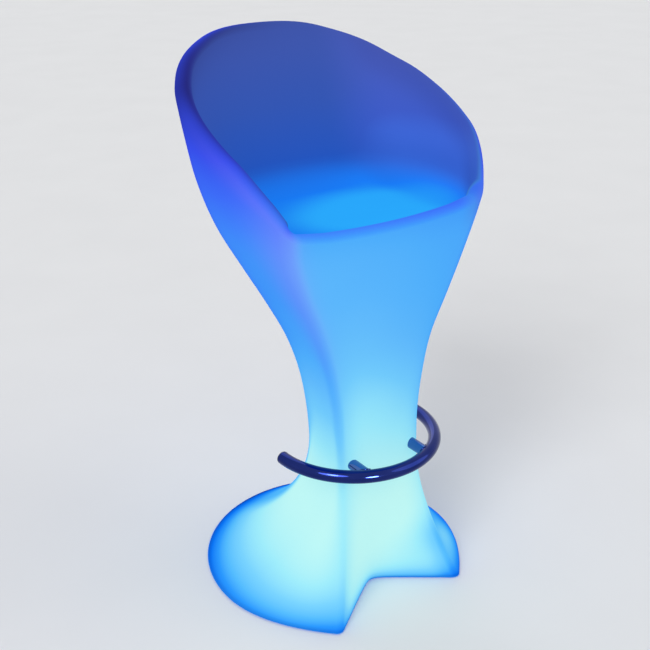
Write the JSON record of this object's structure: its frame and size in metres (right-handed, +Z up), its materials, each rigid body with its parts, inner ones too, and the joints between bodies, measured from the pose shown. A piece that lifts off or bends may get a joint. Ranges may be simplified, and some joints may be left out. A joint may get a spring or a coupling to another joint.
{
  "type": "light-up bar stool",
  "caption": "Tall one-piece glowing plastic bar stool with a flared foot, a bucket seat with a hooded back and a chrome half-ring footrest, lit by a battery lamp in its base.",
  "frame": {"origin": "on the floor, below the middle of the bounding box", "axes": "+Z up; the sitter faces -Y, the footrest is on the -Y side and the hooded back on the +Y side; +X is to the right seen from the front"},
  "size_m": [0.5518, 0.5034, 1.0592],
  "materials": {
    "glow_plastic": "milky rotomoulded polyethylene with a satin skin, glowing blue from the lamp inside, palest and brightest around the foot",
    "chrome": "mirror chrome plate on steel tube",
    "black_plastic": "fine-grained black moulding",
    "white_plastic": "satin white button caps",
    "clear_diffuser": "frosted clear diffuser",
    "grey_rubber": "dark grey soft rubber",
    "steel": "zinc-plated steel",
    "brass": "turned brass",
    "aluminium": "bare aluminium sheet",
    "circuit_board": "green lacquered circuit board",
    "light_board_white": "white lacquered metal-core board",
    "light_chip": "pale yellow light-emitting chip",
    "cell_wrap": "shrunk blue sleeve",
    "window_red": "dark red infrared window",
    "lead_red": "red insulated wire",
    "lead_white": "white insulated wire"
  },
  "bodies": {
    "stool": {"moulded_shell": "glow_plastic", "foot_pad_back": "grey_rubber", "foot_pad_right": "grey_rubber", "foot_pad_left": "grey_rubber", "foot_pad_front_right": "grey_rubber", "foot_pad_front_left": "grey_rubber", "footrest_ring": "chrome", "ring_cap_left": "black_plastic", "ring_cap_right": "black_plastic", "footrest_leg_left": "chrome", "footrest_leg_right": "chrome", "leg_bush_left": "black_plastic", "leg_bush_right": "black_plastic", "leg_nut_left": "steel", "leg_nut_right": "steel", "leg_bolt_left": "steel", "leg_bolt_right": "steel", "leg_bar": "steel", "lamp_plate": "black_plastic", "plate_gasket": "grey_rubber", "screw_insert_1": "brass", "screw_insert_2": "brass", "screw_insert_3": "brass", "screw_insert_4": "brass", "screw_insert_5": "brass", "screw_insert_6": "brass", "plate_screw_1": "steel", "plate_screw_2": "steel", "plate_screw_3": "steel", "plate_screw_4": "steel", "plate_screw_5": "steel", "plate_screw_6": "steel", "diffuser_dome": "clear_diffuser", "heat_spreader": "aluminium", "light_board": "light_board_white", "light_1": "light_chip", "light_2": "light_chip", "light_3": "light_chip", "light_4": "light_chip", "light_5": "light_chip", "light_6": "light_chip", "light_7": "light_chip", "light_8": "light_chip", "board_screw_1": "steel", "board_screw_2": "steel", "board_screw_3": "steel", "battery_tray": "black_plastic", "battery_cell_1": "cell_wrap", "battery_cell_2": "cell_wrap", "battery_cell_3": "cell_wrap", "battery_strap": "grey_rubber", "control_board": "circuit_board", "charge_socket": "black_plastic", "remote_window": "window_red", "battery_lead": "lead_red", "light_lead": "lead_white"},
    "power_button": {"power_button": "white_plastic"},
    "mode_button": {"mode_button": "white_plastic"},
    "socket_flap": {"socket_flap": "grey_rubber"}
  },
  "joints": [
    {"name": "power_press", "type": "slide", "parent": "stool", "child": "power_button", "axis": [0, 0, 1], "range_m": [0, 0.0018], "stiffness_N_per_m": 400},
    {"name": "mode_press", "type": "slide", "parent": "stool", "child": "mode_button", "axis": [0, 0, 1], "range_m": [0, 0.0018], "stiffness_N_per_m": 400},
    {"name": "flap_swing", "type": "hinge", "parent": "stool", "child": "socket_flap", "pos_m": [0, 0.0435, 0.0183], "axis": [-1, 0, 0], "range_deg": [0, 95]}
  ]
}
